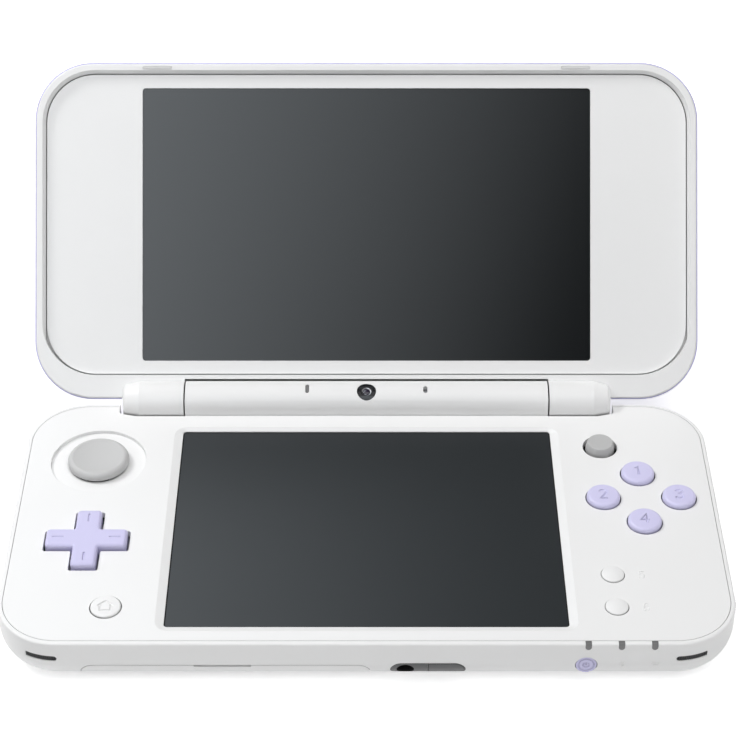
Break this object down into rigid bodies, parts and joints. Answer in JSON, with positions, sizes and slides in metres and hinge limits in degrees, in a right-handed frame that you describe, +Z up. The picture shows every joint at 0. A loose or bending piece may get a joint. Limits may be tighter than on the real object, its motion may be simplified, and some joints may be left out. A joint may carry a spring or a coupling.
{
  "type": "handheld game console",
  "caption": "Clamshell handheld game console: a base with a touch screen, sliding pad, cross pad and round buttons, and a hinged lid with a wide screen.",
  "frame": {"origin": "middle of the underside, at the level of the feet", "axes": "+X to the player's right, +Y to the back where the hinge is, +Z up"},
  "size_m": [0.1603, 0.136, 0.0773],
  "materials": {
    "white_plastic": "fine satin moulding",
    "lavender_plastic": "satin, pale lavender",
    "grey_plastic": "satin, light grey",
    "dark_plastic": "satin, near black",
    "dark_glass": "glossy, dark when the screen is off",
    "screen_module": "bonded glass panel in a thin frame",
    "lens": "clear moulded window",
    "steel": "bright pressed sheet",
    "cell": "film-wrapped cell",
    "board": "glass-fibre board with solder mask",
    "rubber": "moulded silicone"
  },
  "bodies": {
    "base": {"bottom_case": "white_plastic", "deck_plate": "white_plastic", "bottom_cover": "white_plastic", "hinge_barrel": "white_plastic", "hinge_pins": "steel", "screen_frame": "steel", "lower_lcd": "screen_module", "touch_panel": "dark_glass", "main_board": "board", "battery": "cell", "speakers": "dark_plastic", "card_slot": "steel", "memory_card_slot": "steel", "headphone_socket": "dark_plastic", "socket_bezel": "dark_plastic", "charge_port": "dark_plastic", "infrared_window": "dark_glass", "inner_camera": "dark_plastic", "notification_led": "lens", "microphone": "steel", "outer_cameras": "dark_glass", "rubber_feet": "rubber", "case_screws": "steel", "indicator_lenses": "lens", "pad_module": "dark_plastic", "dpad_rubber": "rubber", "button_rubbers": "rubber", "small_rubbers": "rubber", "edge_switches": "dark_plastic", "volume_pot": "dark_plastic", "wireless_module": "steel", "nub_sensor": "dark_plastic"},
    "lid": {"lid_frame": "white_plastic", "lid_cover": "lavender_plastic", "lid_bezel": "white_plastic", "upper_glass": "dark_glass", "upper_lcd": "screen_module", "lid_bumpers": "rubber"},
    "pad_slider": {"pad_slider": "grey_plastic"},
    "pad_cap": {"pad_cap": "grey_plastic"},
    "dpad_pivot": {"dpad_pivot": "grey_plastic"},
    "dpad": {"dpad": "lavender_plastic"},
    "button_top": {"button_top": "lavender_plastic"},
    "button_left": {"button_left": "lavender_plastic"},
    "button_right": {"button_right": "lavender_plastic"},
    "button_bottom": {"button_bottom": "lavender_plastic"},
    "start_button": {"start_button": "white_plastic"},
    "select_button": {"select_button": "white_plastic"},
    "home_button": {"home_button": "white_plastic"},
    "power_button": {"power_button": "lavender_plastic"},
    "nub_post": {"nub_post": "steel"},
    "nub_cap": {"nub_cap": "grey_plastic"},
    "shoulder_left": {"shoulder_left": "white_plastic"},
    "shoulder_right": {"shoulder_right": "white_plastic"},
    "trigger_left": {"trigger_left": "white_plastic"},
    "trigger_right": {"trigger_right": "white_plastic"},
    "card_flap": {"card_flap": "white_plastic"},
    "volume_slider": {"volume_slider": "grey_plastic"},
    "stylus": {"stylus": "dark_plastic"}
  },
  "joints": [
    {"name": "lid_hinge", "type": "hinge", "parent": "base", "child": "lid", "pos_m": [0, 0.04115, 0.0132], "axis": [-1, 0, 0], "range_deg": [-128.1, 26.9]},
    {"name": "pad_x", "type": "slide", "parent": "base", "child": "pad_slider", "axis": [1, 0, 0], "range_m": [-0.0027, 0.0027], "stiffness_N_per_m": 80},
    {"name": "pad_y", "type": "slide", "parent": "pad_slider", "child": "pad_cap", "axis": [0, 1, 0], "range_m": [-0.0027, 0.0027], "stiffness_N_per_m": 80},
    {"name": "dpad_rock_x", "type": "hinge", "parent": "base", "child": "dpad_pivot", "pos_m": [-0.0625, -0.0083, 0.00979], "axis": [1, 0, 0], "range_deg": [-2.5, 2.5], "stiffness_Nm_per_rad": 0.1},
    {"name": "dpad_rock_y", "type": "hinge", "parent": "dpad_pivot", "child": "dpad", "pos_m": [-0.0625, -0.0083, 0.00979], "axis": [0, 1, 0], "range_deg": [-2.5, 2.5], "stiffness_Nm_per_rad": 0.1},
    {"name": "button_top_press", "type": "slide", "parent": "base", "child": "button_top", "axis": [0, 0, -1], "range_m": [0, 0.0006], "stiffness_N_per_m": 400},
    {"name": "button_left_press", "type": "slide", "parent": "base", "child": "button_left", "axis": [0, 0, -1], "range_m": [0, 0.0006], "stiffness_N_per_m": 400},
    {"name": "button_right_press", "type": "slide", "parent": "base", "child": "button_right", "axis": [0, 0, -1], "range_m": [0, 0.0006], "stiffness_N_per_m": 400},
    {"name": "button_bottom_press", "type": "slide", "parent": "base", "child": "button_bottom", "axis": [0, 0, -1], "range_m": [0, 0.0006], "stiffness_N_per_m": 400},
    {"name": "start_button_press", "type": "slide", "parent": "base", "child": "start_button", "axis": [0, 0, -1], "range_m": [0, 0.0006], "stiffness_N_per_m": 400},
    {"name": "select_button_press", "type": "slide", "parent": "base", "child": "select_button", "axis": [0, 0, -1], "range_m": [0, 0.0006], "stiffness_N_per_m": 400},
    {"name": "home_button_press", "type": "slide", "parent": "base", "child": "home_button", "axis": [0, 0, -1], "range_m": [0, 0.0006], "stiffness_N_per_m": 400},
    {"name": "power_button_press", "type": "slide", "parent": "base", "child": "power_button", "axis": [0, 1, 0], "range_m": [0, 0.0004], "stiffness_N_per_m": 400},
    {"name": "nub_tilt_x", "type": "hinge", "parent": "base", "child": "nub_post", "pos_m": [0.0549, 0.0244, 0.0105], "axis": [1, 0, 0], "range_deg": [-3, 3], "stiffness_Nm_per_rad": 0.2},
    {"name": "nub_tilt_y", "type": "hinge", "parent": "nub_post", "child": "nub_cap", "pos_m": [0.0549, 0.0244, 0.0105], "axis": [0, 1, 0], "range_deg": [-3, 3], "stiffness_Nm_per_rad": 0.2},
    {"name": "shoulder_left_press", "type": "hinge", "parent": "base", "child": "shoulder_left", "pos_m": [-0.0634, 0.03675, 0.008], "axis": [0, 0, 1], "range_deg": [0, 1.5], "stiffness_Nm_per_rad": 0.3},
    {"name": "shoulder_right_press", "type": "hinge", "parent": "base", "child": "shoulder_right", "pos_m": [0.0634, 0.03675, 0.008], "axis": [0, 0, -1], "range_deg": [0, 1.5], "stiffness_Nm_per_rad": 0.3},
    {"name": "trigger_left_press", "type": "slide", "parent": "base", "child": "trigger_left", "axis": [0, -1, 0], "range_m": [0, 0.0006], "stiffness_N_per_m": 400},
    {"name": "trigger_right_press", "type": "slide", "parent": "base", "child": "trigger_right", "axis": [0, -1, 0], "range_m": [0, 0.0006], "stiffness_N_per_m": 400},
    {"name": "card_flap_hinge", "type": "hinge", "parent": "base", "child": "card_flap", "pos_m": [0, -0.03624, 0.00165], "axis": [1, 0, 0], "range_deg": [0, 80]},
    {"name": "volume_slide", "type": "slide", "parent": "base", "child": "volume_slider", "axis": [0, 1, 0], "range_m": [-0.005, 0.005]},
    {"name": "stylus_draw", "type": "slide", "parent": "base", "child": "stylus", "axis": [0, -1, 0], "range_m": [0, 0.06]}
  ]
}
